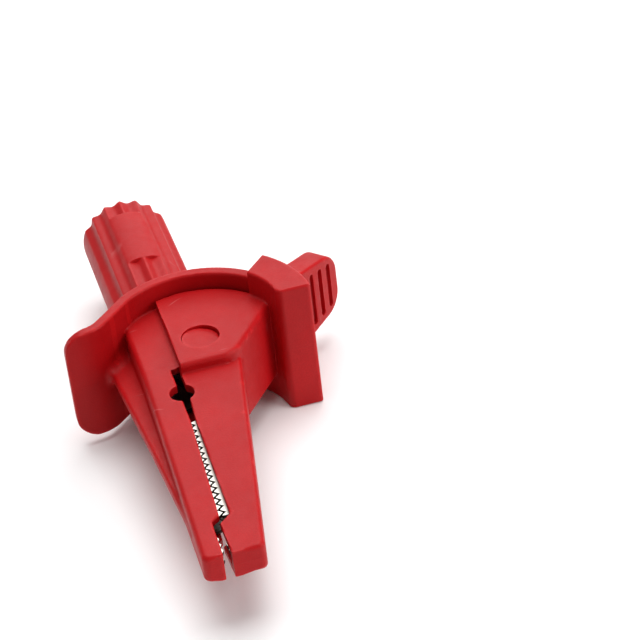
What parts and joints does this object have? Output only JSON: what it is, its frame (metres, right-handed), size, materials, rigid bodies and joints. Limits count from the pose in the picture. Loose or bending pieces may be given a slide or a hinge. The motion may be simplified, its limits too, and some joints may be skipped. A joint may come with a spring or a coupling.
{
  "type": "insulated alligator clip",
  "caption": "Insulated spring-loaded alligator clip with toothed metal jaws, thumb lever, finger guard and a 4 mm safety socket in its ribbed barrel.",
  "frame": {"origin": "bottom centre of the bounding box, with the clip lying on its side", "axes": "+X towards the jaw tips, +Y towards the thumb lever, +Z along the jaw pivot"},
  "size_m": [0.0896, 0.0458, 0.0217],
  "materials": {
    "housing_plastic": "fine satin moulded grain",
    "nickel_plate": "nickel plated",
    "spring_steel": "bright drawn wire"
  },
  "bodies": {
    "barrel_half": {"lower_housing": "housing_plastic", "lower_jaw_blade": "nickel_plate", "socket_tube": "nickel_plate", "socket_sleeve": "housing_plastic", "pivot_pin": "spring_steel", "pivot_bush": "nickel_plate", "torsion_spring": "spring_steel"},
    "lever_half": {"upper_housing": "housing_plastic", "upper_jaw_blade": "nickel_plate", "spring_free_leg": "spring_steel"}
  },
  "joints": [
    {"name": "jaw_pivot", "type": "hinge", "parent": "barrel_half", "child": "lever_half", "pos_m": [-0.00065, -0.00286, 0.01084], "axis": [0, 0, 1], "range_deg": [0, 33], "stiffness_Nm_per_rad": 0.1, "springref_deg": -34.38}
  ]
}
